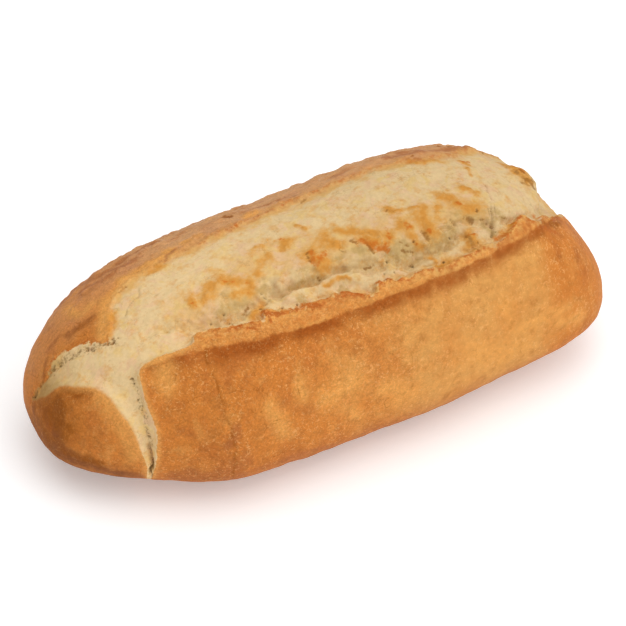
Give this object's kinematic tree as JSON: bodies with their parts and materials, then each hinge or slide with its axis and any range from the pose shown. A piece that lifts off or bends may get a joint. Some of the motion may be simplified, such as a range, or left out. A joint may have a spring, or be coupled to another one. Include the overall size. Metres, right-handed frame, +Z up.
{
  "type": "italian bread loaf",
  "caption": "Long crusty white bread loaf, flat underneath, torn open along the top and across the left end, with a browned crust and pale crumb.",
  "frame": {"origin": "middle of the loaf's outer box, at the level of the surface it rests on", "axes": "+X along the loaf towards its taller end, +Z up, the long tear leans to -Y"},
  "size_m": [0.27, 0.126, 0.0955],
  "materials": {
    "crust": "dry browned bread crust with torn pale crumb along the top"
  },
  "bodies": {
    "root": {"loaf": "crust"}
  },
  "joints": []
}
